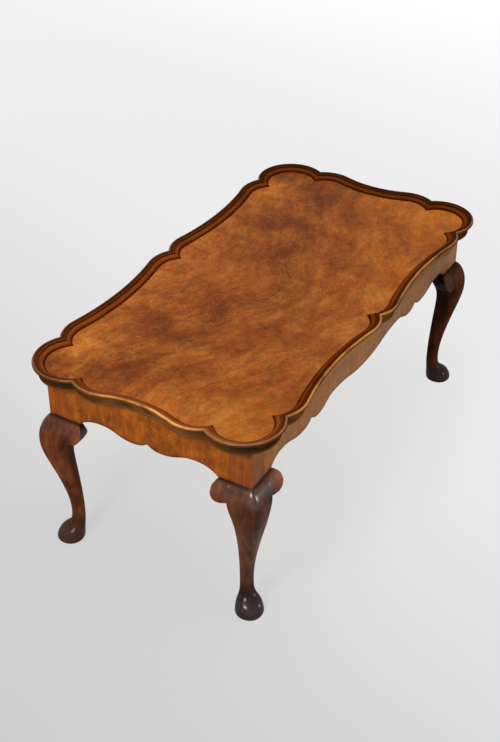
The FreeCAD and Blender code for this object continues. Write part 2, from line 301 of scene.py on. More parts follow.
def lower_edge(half, is_long):
    """Half of an apron's lower edge from its middle to the post: along and up, in metres."""
    crown, drop, notch = (knee_height + rise * mm for rise in (crown_rise, drop_rise, notch_rise))
    ear_end = (half - ear_width, knee_height)
    turns = [half * share for share in (long_turns if is_long else end_turns)]
    if is_long:
        middle, inner_crown, inner_drop = (0, drop), (turns[0], crown), (turns[1], drop)
        cusp, outer_drop, outer_crown = (turns[2], notch), (turns[3], drop), (turns[4], crown)
        curves = [wave(middle, inner_crown), wave(inner_crown, inner_drop)]
        curves.append(hook(inner_drop, cusp, *notch_bend))
    else:
        cusp, outer_drop, outer_crown = (0, notch), (turns[0], drop), (turns[1], crown)
        curves = []
    curves.append(hook(outer_drop, cusp, *notch_bend)[::-1])
    curves.append(wave(outer_drop, outer_crown))
    curves.append(hook(outer_crown, ear_end, *ear_bend))
    line = []
    for curve in curves:
        points = interpolate_bezier(*[Vector((a, b, 0)) for a, b in curve], curve_points)
        line += [(point.x, point.y) for point in points[(1 if line else 0):]]
    return line + [(half - ear_width / 2, knee_height), (half, knee_height)]


def apron(half, is_long, place):
    """A veneered apron face with a softened lower arris."""
    line = lower_edge(half, is_long)
    line = [(-a, b) for a, b in reversed(line)] + line[(0 if line[0][0] else 1):]
    bm = bmesh.new()
    foot = bm.verts.layers.float.new("foot")
    chain = [bm.verts.new(place(a, 0, b)) for a, b in line]
    edges = [bm.edges.new((chain[i], chain[i + 1])) for i in range(len(chain) - 1)]
    for share in apron_rows:
        grown = bmesh.ops.extrude_edge_only(bm, edges=edges)
        verts = [item for item in grown["geom"] if isinstance(item, bmesh.types.BMVert)]
        edges = [item for item in grown["geom"] if isinstance(item, bmesh.types.BMEdge)]
        low = {(round(v.co.x, 6), round(v.co.y, 6)): v.co.z for v in chain}
        for vert in verts:
            start = low[(round(vert.co.x, 6), round(vert.co.y, 6))]
            vert.co.z = start + (rail_top - start) * share
            vert[foot] = vert.co.z - start
    bmesh.ops.recalc_face_normals(bm, faces=bm.faces)
    outwards = place(0, 1, 0) - place(0, 0, 0)
    if sum(f.normal.dot(outwards) for f in bm.faces) < 0:
        bmesh.ops.reverse_faces(bm, faces=bm.faces)
    front = bm.faces[:]
    bmesh.ops.solidify(bm, geom=front, thickness=apron_thickness)
    bmesh.ops.recalc_face_normals(bm, faces=bm.faces)
    arris = [e for e in bm.edges if len(e.link_faces) == 2 and e.calc_face_angle(0) > 1.0
             and all(abs((v.co - place(0, 0, 0)).dot(outwards)) < 0.1 * mm for v in e.verts)]
    bmesh.ops.bevel(
        bm, geom=arris, offset=apron_arris, offset_type="OFFSET", affect="EDGES", segments=2, profile=0.5,
        material=-1, clamp_overlap=True,
    )
    return bm


def make_aprons(material):
    """Four aprons."""
    sides = (
        ("back", "front", half_long_rail, True, on_long_rail),
        ("right", "left", half_end_rail, False, on_end_rail),
    )
    for near, far, half, is_long, place in sides:
        bm = apron(half, is_long, place)
        for name, turn in ((near, 1), (far, -1)):
            made = turned_copy(bm, 1, turn) if is_long else turned_copy(bm, turn, 1)
            piece(f"apron_{name}", made, material, [f"apron_veneer_{name}"])
        bm.free()


# Cabriole legs: height as a share of the knee height, outer and inner edges along the corner's
# diagonal as shares of the post, and the rounding of the front, side and back corners
leg_stations = (
    (1.000, 0.000, -1.414, 0.03, 0.03, 0.03),
    (0.988, 0.125, -1.400, 0.12, 0.04, 0.04),
    (0.974, 0.230, -1.385, 0.22, 0.05, 0.06),
    (0.952, 0.345, -1.385, 0.31, 0.07, 0.08),
    (0.915, 0.480, -1.360, 0.40, 0.11, 0.14),
    (0.866, 0.582, -1.255, 0.47, 0.18, 0.26),
    (0.800, 0.600, -0.955, 0.54, 0.30, 0.44),
    (0.735, 0.525, -0.835, 0.59, 0.48, 0.60),
    (0.650, 0.320, -0.862, 0.65, 0.70, 0.74),
    (0.535, 0.008, -0.948, 0.73, 0.90, 0.86),
    (0.430, -0.232, -1.012, 0.80, 0.95, 0.93),
    (0.320, -0.440, -1.075, 0.92, 0.97, 0.96),
    (0.210, -0.508, -1.095, 0.97, 0.97, 0.97),
    (0.145, -0.460, -1.080, 0.97, 0.97, 0.97),
    (0.113, -0.300, -1.056, 0.97, 0.97, 0.97),
    (0.092, -0.050, -1.038, 0.97, 0.97, 0.97),
    (0.079, 0.072, -1.030, 0.97, 0.97, 0.97),
    (0.066, 0.152, -1.024, 0.97, 0.97, 0.97),
    (0.037, 0.258, -1.013, 0.97, 0.97, 0.97),
    (0.014, 0.285, -0.995, 0.97, 0.97, 0.97),
    (0.003, 0.255, -0.965, 0.97, 0.97, 0.97),
    (0.000, 0.215, -0.915, 0.97, 0.97, 0.97),
)

# Degrees from a corner to a ring's points, with the middle of the next face last, and how much of the front
# arris each point shows
ring_offsets = (-32, -20, -10, -3, 0, 3, 10, 20, 32, 45)
arris_shares = (0.0, 0.3, 0.6, 0.9, 1.0, 0.9, 0.6, 0.3, 0.0, 0.0)

# Degrees from the inner corner that soil and painted shade reach, and over which they fade
soil_and_shade_reach, soil_and_shade_fade = 85, 35

# Heights of the post's rings over the knee line, and insets in the leg's end faces, in millimetres
post_rises = (0.7, 2.5, 12, 45, 80, 82.4, 83)
cap_insets = (4, 6)


def section_reach(direction, half, rounding):
    """How far a rounded square reaches from its middle in one direction."""
    across, along = abs(direction.x), abs(direction.y)
    reach = half / max(across, along)
    inner = half - rounding
    if min(across, along) * reach > inner:
        centre = Vector((inner, inner))
        ray = Vector((across, along))
        near = centre.dot(ray)
        reach = near + math.sqrt(max(0, rounding ** 2 - centre.length_squared + near ** 2))
    return reach


def section_size(station):
    """Half the width of a leg's section, and how far its faces stand out from the post's."""
    _, outer, inner, front, _, back = station
    cut = math.sqrt(2) - 1
    half = (outer - inner) * post_size / (math.sqrt(2) - cut * (front + back) / 2) / 2
    return half, (outer * post_size + cut * front * half) / math.sqrt(2)


def leg_ring(bm, station, height, arris_layer):
    """One level section of the back right leg, from a circle pressed into a rounded square."""
    front, side, back = station[3:]
    roundings = (front, side, back, side)
    half, face = section_size(station)
    middle = Vector((post_corner_x + face - half, post_corner_y + face - half, height))
    made = bmesh.ops.create_circle(bm, cap_ends=False, radius=half, segments=4 * len(ring_offsets))
    for index, vert in enumerate(made["verts"]):
        corner, offset = divmod(index, len(ring_offsets))
        degrees = 45 + 90 * corner + ring_offsets[offset]
        direction = Vector((math.cos(math.radians(degrees)), math.sin(math.radians(degrees))))
        nearest = corner if offset < len(ring_offsets) - 1 else (corner + 1) % len(roundings)
        reach = section_reach(direction, half, roundings[nearest] * half)
        vert.co = middle + Vector((direction.x * reach, direction.y * reach, 0))
        if corner == 0:
            vert[arris_layer] = arris_shares[offset]
        inwards = abs(degrees - 225)
        if inwards < soil_and_shade_reach:
            vert[arris_layer] = -min(1.0, (soil_and_shade_reach - inwards) / soil_and_shade_fade)
    return [edge for edge in bm.edges if edge.verts[0] in made["verts"] and edge.verts[1] in made["verts"]]


def cabriole_leg():
    """A leg with its square post, knee, shank and pad foot."""
    bm = bmesh.new()
    arris_layer = bm.verts.layers.float.new("arris")
    rings = []
    for rise in reversed(post_rises):
        rings.append(leg_ring(bm, leg_stations[0], knee_height + rise * mm, arris_layer))
    for station in leg_stations:
        rings.append(leg_ring(bm, station, station[0] * knee_height, arris_layer))
    for upper, lower in zip(rings, rings[1:]):
        bmesh.ops.bridge_loops(bm, edges=upper + lower)
    for ring in (rings[0], rings[-1]):
        cap = bmesh.ops.contextual_create(bm, geom=ring)["faces"]
        for inset in cap_insets:
            bmesh.ops.inset_region(bm, faces=cap, thickness=inset * mm, use_even_offset=False)
    bmesh.ops.recalc_face_normals(bm, faces=bm.faces)
    return bm


def make_legs(material):
    """Four legs."""
    bm = cabriole_leg()
    for row, column, across_x, across_y in quarters:
        made = turned_copy(bm, across_x, across_y)
        piece(f"cabriole_{row}_{column}", made, material, [f"leg_{row}_{column}"], 0, 2)
    bm.free()


# Knee ears: from the leg to the rounded end, each ring's reach along the rail and the falls of its upper
# and lower edges under the knee line, in millimetres
ear_rings = (
    (-7.0, 0.0, 29.2), (-3.0, 0.0, 29.6), (0.0, 0.0, 30.2), (4.5, 0.0, 31.8), (9.5, 0.0, 33.2),
    (14.5, 0.0, 33.6), (19.2, 0.6, 32.8), (22.9, 3.3, 30.6), (25.7, 6.9, 27.1), (27.4, 10.6, 23.4),
    (28.2, 14.0, 20.0),
)

# Rows of a ring down its front, insets of its upper and lower sides with their share of clean front, its
# back behind the rail's face, and how deep its front and root lie under the knee's face
ear_front_shares = (0.0, 0.10, 0.22, 0.405, 0.715, 0.955, 1.0)
ear_side_insets = ((1.4, -0.4), (6.0, -1))
ear_back = 10
ear_sink = 0.1
ear_root_sink = 5
long_ear_stretch = 1.2


def knee_face(fall):
    """How far the knee's face stands out from the rail's face, at a fall under the knee line."""
    share = 1 - fall * mm / knee_height
    for upper, lower in zip(leg_stations, leg_stations[1:]):
        if share >= lower[0]:
            part = (upper[0] - share) / (upper[0] - lower[0])
            faces = [section_size(station)[1] for station in (upper, lower)]
            return (faces[0] + (faces[1] - faces[0]) * part) / mm
    return 0


def ear_section(top, foot, sink):
    """One section of an ear, with the out, fall and share of clean front of each point."""
    front = []
    for share in ear_front_shares:
        fall = top + (foot - top) * share
        front.append((knee_face(fall) - sink, fall, 1))
    upper = [(front[0][0] - inset, top, clean) for inset, clean in ear_side_insets]
    lower = [(front[-1][0] - inset, foot, clean) for inset, clean in ear_side_insets]
    back = [(-ear_back, fall, -1) for fall in (foot, (top + foot) / 2, top)]
    return upper[::-1] + front + lower + back


def knee_ear(half, stretch, place):
    """An ear that carries the knee's face on along the rail to a rounded end."""
    bm = bmesh.new()
    tone_layer = bm.verts.layers.float.new("ear")
    rings = []
    for reach, top, foot in ear_rings:
        sink = ear_root_sink if reach == ear_rings[0][0] else ear_sink
        section = ear_section(top, foot, sink)
        made = bmesh.ops.create_circle(bm, cap_ends=False, radius=1, segments=len(section))["verts"]
        for vert, (out, fall, clean) in zip(made, section):
            vert.co = place(half - reach * stretch * mm, out * mm, knee_height - fall * mm)
            vert[tone_layer] = clean * max(0, reach / ear_rings[-1][0]) if clean > 0 else clean
        rings.append([e for e in bm.edges if e.verts[0] in made and e.verts[1] in made])
    for near, far in zip(rings, rings[1:]):
        bmesh.ops.bridge_loops(bm, edges=near + far)
    for ring in (rings[0], rings[-1]):
        bmesh.ops.contextual_create(bm, geom=ring)
    bmesh.ops.recalc_face_normals(bm, faces=bm.faces)
    return bm


def make_ears(material):
    """Two ears at each knee."""
    sides = (
        ("long", half_long_rail, long_ear_stretch, on_long_rail),
        ("end", half_end_rail, 1.0, on_end_rail),
    )
    for side, half, stretch, place in sides:
        bm = knee_ear(half, stretch, place)
        for row, column, across_x, across_y in quarters:
            made = turned_copy(bm, across_x, across_y)
            name = f"ear_{row}_{column}_{side}"
            piece(f"knee_{name}", made, material, [name], 0, 2)
        bm.free()


# Finishes: places are metres in the table's own space, tones are screen values

def tone(red, green, blue):
    """A colour from its screen values."""
    def linear(value):
        value /= 255
        return value / 12.92 if value <= 0.04045 else ((value + 0.055) / 1.055) ** 2.4
    return linear(red), linear(green), linear(blue), 1.0


class Finish:
    """A material's nodes, with short calls for what the finishes share."""

    def __init__(self, name):
        self.material = bpy.data.materials.new(name)
        self.material.use_nodes = True
        self.tree = self.material.node_tree
        self.tree.nodes.clear()
        self.place = self.node("ShaderNodeTexCoord").outputs["Object"]

    def node(self, kind, inputs=(), **settings):
        """A new node with its settings, and its inputs linked or filled."""
        made = self.tree.nodes.new(kind)
        for key, value in settings.items():
            setattr(made, key, value)
        for key, value in dict(inputs).items():
            if isinstance(value, bpy.types.NodeSocket):
                self.tree.links.new(value, made.inputs[key])
            else:
                made.inputs[key].default_value = value
        return made

    def calc(self, operation, first, second=0.0, third=0.0, clamp=False):
        inputs = {0: first, 1: second, 2: third}
        return self.node("ShaderNodeMath", inputs, operation=operation, use_clamp=clamp).outputs[0]

    def times(self, value, *others):
        for other in others:
            value = self.calc("MULTIPLY", value, other)
        return value

    def total(self, *layers):
        """The sum of layers, each times its share."""
        value = 0.0
        for layer, share in layers:
            value = self.calc("MULTIPLY_ADD", layer, share, value)
        return value

    def less(self, value, share=1.0):
        """One, less a share of a value."""
        return self.calc("MULTIPLY_ADD", value, -share, 1.0)

    def shift(self, vector, scale=(1, 1, 1), turn=(0, 0, 0), move=(0, 0, 0)):
        angles = [math.radians(angle) for angle in turn]
        inputs = {"Vector": vector, "Scale": scale, "Rotation": angles, "Location": move}
        return self.node("ShaderNodeMapping", inputs).outputs[0]

    def noise(self, vector, scale, detail=3.0, roughness=0.5, distortion=0.0, colour=False):
        made = self.node("ShaderNodeTexNoise", {
            "Vector": vector, "Scale": scale, "Detail": detail, "Roughness": roughness,
            "Distortion": distortion,
        })
        return made.outputs["Color" if colour else "Fac"]

    def grain(self, vector, stretch, detail, roughness, distortion=0.0, move=(0, 0, 0)):
        """Noise drawn out along the wood."""
        return self.noise(self.shift(vector, stretch, move=move), 1.0, detail, roughness, distortion)

    def cells(self, vector, scale):
        inputs = {"Vector": vector, "Scale": scale}
        return self.node("ShaderNodeTexVoronoi", inputs, voronoi_dimensions="2D").outputs["Distance"]

    def ramp(self, value, stops, smooth=False):
        made = self.node("ShaderNodeValToRGB", {0: value})
        band = made.color_ramp
        band.interpolation = "EASE" if smooth else "LINEAR"
        while len(band.elements) < len(stops):
            band.elements.new(1.0)
        for element, (position, colour) in zip(band.elements, stops):
            element.position = position
            element.color = colour if isinstance(colour, tuple) else (colour, colour, colour, 1)
        return made.outputs[0]

    def span(self, value, low, high, new_low=0.0, new_high=1.0):
        """A value carried from one range to another, and held at its ends."""
        made = self.node("ShaderNodeMapRange", {
            "Value": value, "From Min": low, "From Max": high, "To Min": new_low, "To Max": new_high,
        })
        return made.outputs[0]

    def mix(self, share, first, second, blend="MIX"):
        inputs = {0: share, 6: first, 7: second}
        return self.node("ShaderNodeMix", inputs, data_type="RGBA", blend_type=blend).outputs[2]

    def parts(self, vector):
        return self.node("ShaderNodeSeparateXYZ", {0: vector}).outputs

    def vector(self, x=0.0, y=0.0, z=0.0):
        return self.node("ShaderNodeCombineXYZ", {0: x, 1: y, 2: z}).outputs[0]

    def add(self, first, second, share):
        """A vector with a share of another."""
        inputs = {0: second, 1: (share, share, share), 2: first}
        return self.node("ShaderNodeVectorMath", inputs, operation="MULTIPLY_ADD").outputs[0]

    def length(self, vector):
        return self.node("ShaderNodeVectorMath", {0: vector}, operation="LENGTH").outputs["Value"]

    def own(self, name):
        """A value kept on the mesh."""
        return self.node("ShaderNodeAttribute", attribute_name=name).outputs["Fac"]

    def bump(self, height, distance, strength):
        inputs = {"Height": height, "Distance": distance, "Strength": strength}
        return self.node("ShaderNodeBump", inputs).outputs[0]

    def polish(self, colour, roughness, normal, coat=0.0, coat_roughness=0.1, specular=0.5):
        """The material, with its surface."""
        surface = self.node("ShaderNodeBsdfPrincipled", {
            "Base Color": colour, "Roughness": roughness, "Normal": normal, "Specular IOR Level": specular,
            "Coat Weight": coat, "Coat Roughness": coat_roughness,
        })
        self.node("ShaderNodeOutputMaterial", {0: surface.outputs[0]})
        return self.material


def field_finish():
    """Figured walnut veneer, matched left and right of the middle."""
    finish = Finish("figured_walnut_field")
    x, y, _ = finish.parts(finish.place)
    reach = finish.calc("ABSOLUTE", x)
    matched = finish.vector(reach, y)
    bend = finish.noise(matched, 5.0, 2.0, 0.5, colour=True)
    bent = finish.add(matched, bend, 0.09)
    ripple = finish.noise(matched, 19, 2.0, 0.5, colour=True)
    lie = finish.shift(finish.add(bent, ripple, 0.010), turn=(0, 0, -21))

    # Figure, from broad clouds to pores
    streaks = finish.grain(lie, (9, 48, 1), 5.0, 0.6)
    threads = finish.grain(lie, (70, 520, 1), 3.0, 0.55)
    broad = finish.noise(bent, 3.4, 2.0, 0.5, 0.4)
    cloud = finish.noise(bent, 11.0, 3.0, 0.55, 0.5)
    mottle = finish.noise(finish.add(matched, ripple, 0.02), 34.0, 5.0, 0.66, 0.8)
    burr = finish.grain(lie, (105, 150, 1), 4.0, 0.66, 0.6)
    pores = finish.grain(lie, (250, 330, 1), 3.0, 0.6)
    figure = finish.total(
        (streaks, 0.15), (cloud, 0.18), (mottle, 0.15), (burr, 0.13), (broad, 0.27), (pores, 0.12),
    )
    colour = finish.ramp(figure, (
        (0.395, tone(80, 37, 13)), (0.450, tone(114, 58, 22)), (0.500, tone(145, 79, 30)),
        (0.545, tone(172, 99, 39)), (0.600, tone(202, 128, 56)),
    ))

    # Redder clouds, a golden patch by the front corners and a fine drift of hue
    redness = finish.noise(finish.add(bent, ripple, 0.03), 7.5, 4.0, 0.6)
    red = finish.ramp(redness, ((0.46, 0.0), (0.66, 0.30)))
    colour = finish.mix(red, colour, tone(136, 64, 19))
    aside = finish.vector(finish.calc("SUBTRACT", reach, 0.37), finish.calc("ADD", y, 0.165))
    far = finish.length(finish.add(aside, bend, 0.03))
    gold = finish.ramp(far, ((0.03, 0.18), (0.12, 0.0)), True)
    colour = finish.mix(gold, colour, tone(194, 114, 28))
    hue = finish.noise(finish.add(matched, ripple, 0.015), 38.0, 6.0, 0.78)
    tint = finish.ramp(hue, (
        (0.30, (1.06, 0.80, 0.64, 1)), (0.50, (1, 1, 1, 1)), (0.70, (0.97, 1.13, 1.04, 1)),
    ))
    colour = finish.mix(1.0, colour, tint, "MULTIPLY")

    # Grain threads, faint rings and rare dark flecks
    line = finish.ramp(threads, ((0.30, 0.64), (0.48, 1.0), (0.75, 1.08)))
    colour = finish.mix(0.5, colour, line, "MULTIPLY")
    swirl = finish.shift(finish.add(bent, ripple, 0.02), (4.0, 6.0, 1.0), move=(-0.95, -0.75, 0))
    rings = finish.node(
        "ShaderNodeTexWave", {"Vector": swirl, "Scale": 1.2, "Distortion": 1.2, "Detail": 2.0},
        wave_type="RINGS", rings_direction="Z", wave_profile="SIN",
    )
    ring_line = finish.ramp(rings.outputs["Fac"], ((0.70, 0.0), (1.0, 1.0)), True)
    ring_share = finish.ramp(finish.noise(matched, 6, 2.0), ((0.48, 0.0), (0.62, 1.0)))
    colour = finish.mix(finish.times(ring_line, ring_share, 0.30), colour, tone(96, 44, 15))
    fleck = finish.ramp(finish.cells(finish.shift(lie, (1, 1.6, 1)), 46), ((0.03, 1.0), (0.075, 0.0)))
    rare = finish.ramp(finish.noise(matched, 30, 1.0), ((0.60, 0.0), (0.64, 1.0)))
    colour = finish.mix(finish.times(fleck, rare), colour, tone(54, 24, 10))

    # Old wax with painted shade along the margin, a deeper right half and a painted shadow over the left
    # front
    rub = finish.noise(finish.place, 14, 4.0, 0.6)
    kept = finish.span(rub, 0.35, 0.65, 0.45, 0.95)
    # old wax and painted shade where the top meets the rim
    wax_and_shade = finish.calc("MULTIPLY", finish.own("margin"), kept, clamp=True)
    colour = finish.mix(wax_and_shade, colour, tone(88, 34, 7))
    deeper = finish.ramp(finish.span(x, -0.1, 0.4), ((0.0, (1, 1, 1, 1)), (1.0, (1.0, 0.94, 0.64, 1))))
    colour = finish.mix(1.0, colour, deeper, "MULTIPLY")
    # painted shadow darkening the left front of the top
    painted_front_shadow = finish.times(finish.span(y, 0.05, -0.17), finish.span(x, 0.15, -0.1))
    colour = finish.mix(1.0, colour, finish.span(painted_front_shadow, 0.0, 1.0, 1.0, 0.79), "MULTIPLY")

    roughness = finish.span(rub, 0.3, 0.7, 0.24, 0.38)
    normal = finish.bump(finish.total((cloud, 1.4), (threads, 0.4)), 0.0004, 0.3)
    return finish.polish(colour, roughness, normal, coat=0.015, coat_roughness=0.14, specular=0.03)


def rim_finish():
    """Moulded walnut: rubbed bright along the outer arris, with a painted highlight there, dark with old
    wax in the hollows.
    """
    finish = Finish("moulded_walnut_rim")
    band = finish.own("band")
    x, y, _ = finish.parts(finish.place)
    along = finish.vector(finish.times(band, 1.4), finish.times(x, 7), finish.times(y, 7))
    lines = finish.noise(along, 4.0, 5.0, 0.6)
    cloud = finish.noise(finish.place, 16, 4.0, 0.6)
    worn = finish.noise(finish.place, 38, 4.0, 0.65)

    # Tones across the runs, from the cove's foot to the inner edge, as kept and as rubbed with a painted
    # highlight on the nose
    jitter = finish.calc("MULTIPLY_ADD", finish.calc("SUBTRACT", worn, 0.5), 0.34, band)
    level = finish.calc("DIVIDE", jitter, run_count)
    inner = (
        (0.350, tone(76, 35, 12)), (0.395, tone(62, 26, 7)), (0.425, tone(90, 44, 15)),
        (0.462, tone(94, 47, 17)), (0.490, tone(60, 24, 6)), (0.516, tone(40, 13, 4)),
        (0.600, tone(48, 17, 4)), (0.650, tone(90, 40, 11)), (0.750, tone(128, 64, 22)),
        (0.785, tone(108, 47, 12)), (0.808, tone(70, 24, 2)), (0.860, tone(66, 21, 2)),
    )
    kept = finish.ramp(level, (
        (0.000, tone(104, 62, 27)), (0.028, tone(110, 66, 30)), (0.048, tone(62, 39, 22)),
        (0.150, tone(54, 34, 20)), (0.190, tone(66, 40, 21)), (0.245, tone(78, 45, 22)),
        (0.284, tone(92, 53, 25)), (0.306, tone(120, 74, 38)), (0.324, tone(104, 58, 27)),
    ) + inner)
    rubbed_and_lit = finish.ramp(level, (
        (0.000, tone(124, 78, 38)), (0.028, tone(128, 82, 42)), (0.048, tone(122, 77, 42)),
        (0.150, tone(112, 70, 37)), (0.190, tone(120, 73, 34)), (0.235, tone(138, 82, 34)),
        (0.268, tone(170, 106, 48)), (0.304, tone(194, 132, 70)), (0.330, tone(158, 95, 43)),
    ) + inner)

    # Rubbed, with its painted highlight, least on the corner lobes and at the back
    corner = finish.times(
        finish.ramp(finish.calc("ABSOLUTE", x), ((0.29, 0.0), (0.33, 1.0))),
        finish.ramp(finish.calc("ABSOLUTE", y), ((0.085, 0.0), (0.12, 1.0))),
    )
    sides = finish.less(corner)
    fronted = finish.ramp(finish.span(y, 0.02, 0.16), ((0.0, 1.0), (1.0, 0.12)), True)
    patch = finish.ramp(cloud, ((0.36, 0.3), (0.52, 1.0)))
    colour = finish.mix(finish.times(patch, fronted, finish.less(corner, 0.62)), kept, rubbed_and_lit)

    # The left end's crest and arris, bright from handling, with painted light on the crest and a painted
    # highlight on the arris
    handled_and_lit = finish.ramp(finish.span(x, -0.44, -0.34), ((0.0, 0.8), (1.0, 0.0)), True)
    handled_and_lit = finish.times(handled_and_lit, fronted)
    crest = finish.ramp(level, ((0.31, 0.0), (0.35, 1.0), (0.44, 1.0), (0.50, 0.0)))
    colour = finish.mix(finish.times(handled_and_lit, crest), colour, tone(150, 86, 42))
    arris = finish.ramp(level, ((0.245, 0.0), (0.285, 0.8), (0.318, 0.8), (0.350, 0.0)))
    nearer = finish.ramp(finish.span(y, -0.02, 0.09), ((0.0, 1.0), (1.0, 0.2)), True)
    colour = finish.mix(finish.times(handled_and_lit, arris, patch, nearer, sides), colour, tone(246, 170, 88))

    # Grain along the runs, and a darker right end
    grain = finish.total((cloud, 0.4), (lines, 0.6))
    shade = finish.ramp(grain, ((0.32, 0.50), (0.50, 0.96), (0.68, 1.25)))
    colour = finish.mix(0.9, colour, shade, "MULTIPLY")
    darker_to_right = finish.span(finish.total((x, 1.0), (cloud, 0.2)), 0.2, 0.52, 1.0, 0.64)
    colour = finish.mix(1.0, colour, darker_to_right, "MULTIPLY")

    # Painted shade on the inner runs along the front, and painted sheen on the front's coves
    shaded = finish.ramp(level, (
        (0.37, (1, 1, 1, 1)), (0.42, (0.72, 0.50, 0.36, 1)), (0.58, (0.72, 0.54, 0.42, 1)),
        (0.655, (1, 1, 1, 1)), (0.73, (0.70, 0.54, 0.46, 1)), (0.83, (0.55, 0.36, 0.26, 1)),
    ))
    # painted shade on the front rim's inner runs
    inner_front = finish.times(
        finish.span(y, -0.195, -0.165, 1.0, 0.0), sides, finish.span(x, -0.05, 0.15, 1.0, 0.15),
    )
    colour = finish.mix(inner_front, colour, shaded, "MULTIPLY")
    # painted sheen: the front coves pale, as a grazing reflection
    cove = finish.ramp(level, ((0.10, 0.75), (0.16, 0.0)))
    front = finish.times(finish.span(y, -0.188, -0.200), sides)
    sheen_runs = finish.ramp(finish.span(x, -0.33, 0.33), (
        (0.07, 0.0), (0.12, 1.0), (0.49, 1.0), (0.505, 0.0), (0.55, 0.0), (0.60, 0.45),
    ))
    colour = finish.mix(finish.times(cove, front, sheen_runs), colour, tone(200, 144, 82))

    roughness = finish.span(worn, 0.3, 0.7, 0.26, 0.44)
    normal = finish.bump(finish.total((worn, 1.0), (lines, 0.6)), 0.0006, 0.35)
    shine = finish.ramp(finish.calc("DIVIDE", band, run_count), ((0.26, 0.0), (0.30, 0.6), (0.36, 0.0)))
    return finish.polish(colour, roughness, normal, coat=shine, coat_roughness=0.14, specular=0.0)


def apron_finish():
    """Golden walnut veneer with upright grain."""
    finish = Finish("upright_walnut_apron")
    x, y, z = finish.parts(finish.place)
    bend = finish.noise(finish.place, 9, 2.0, 0.5)
    run = finish.total((x, 1.0), (y, 1.0), (bend, 0.05))
    lie = finish.vector(run, finish.times(z, 0.045), finish.calc("SUBTRACT", x, y))

    # Figure, with a painted sheen paler along the front
    streaks = finish.grain(lie, (55, 55, 3), 5.0, 0.62)
    threads = finish.grain(lie, (520, 520, 10), 3.0, 0.55)
    cloud = finish.noise(finish.place, 15, 4.0, 0.6)
    mottle = finish.noise(finish.shift(finish.place, (1, 1, 0.6)), 75, 4.0, 0.65, 0.5)
    figure = finish.total((streaks, 0.26), (cloud, 0.42), (mottle, 0.32))
    colour = finish.ramp(figure, (
        (0.36, tone(104, 48, 10)), (0.44, tone(146, 74, 16)), (0.52, tone(178, 94, 21)),
        (0.62, tone(204, 118, 36)),
    ))
    front = finish.span(y, -0.184, -0.187)
    # painted sheen: the front apron paler, as a grazing reflection
    colour = finish.mix(finish.times(front, 0.36), colour, tone(178, 130, 60))
    line = finish.ramp(threads, ((0.28, 0.66), (0.46, 1.0), (0.75, 1.07)))
    colour = finish.mix(0.7, colour, line, "MULTIPLY")

    # Cracks, small holes, soil at the lower edge and shade under the rim
    cracks = finish.grain(lie, (150, 150, 8), 2.0, 0.5, move=(3, 1, 2))
    crack = finish.ramp(cracks, ((0.285, 1.0), (0.315, 0.0)))
    colour = finish.mix(crack, colour, tone(62, 29, 10))
    dot = finish.ramp(finish.cells(finish.vector(run, z), 72), ((0.06, 1.0), (0.11, 0.0)))
    rare = finish.ramp(finish.noise(finish.place, 23, 2.0), ((0.54, 0.0), (0.60, 1.0)))
    hole = finish.times(dot, rare)
    colour = finish.mix(hole, colour, tone(50, 23, 9))
    worn = finish.noise(finish.place, 60, 3.0, 0.6)
    edge = finish.total((finish.own("foot"), 1.0), (worn, 0.006))
    soil = finish.ramp(edge, ((0.0025, 0.85), (0.009, 0.0)))
    colour = finish.mix(soil, colour, tone(80, 38, 14))
    under = finish.ramp(finish.span(z, 0.334, 0.354), ((0.0, 0.0), (1.0, 0.5)), True)
    colour = finish.mix(under, colour, tone(96, 46, 14))

    # Darker towards the right, the back and the far front
    far_front = finish.times(front, finish.span(x, -0.1, 0.3))
    darker_to_right = finish.times(
        finish.span(x, -0.1, 0.4, 1.0, 0.72), finish.span(y, -0.02, 0.14, 1.0, 0.80),
        finish.less(far_front, 0.2),
    )
    colour = finish.mix(1.0, colour, darker_to_right, "MULTIPLY")

    roughness = finish.span(cloud, 0.3, 0.7, 0.30, 0.44)
    height = finish.total((streaks, 1.0), (threads, 0.5), (finish.less(hole), 2.0))
    normal = finish.bump(height, 0.0005, 0.4)
    return finish.polish(colour, roughness, normal, coat_roughness=0.2, specular=0.07)


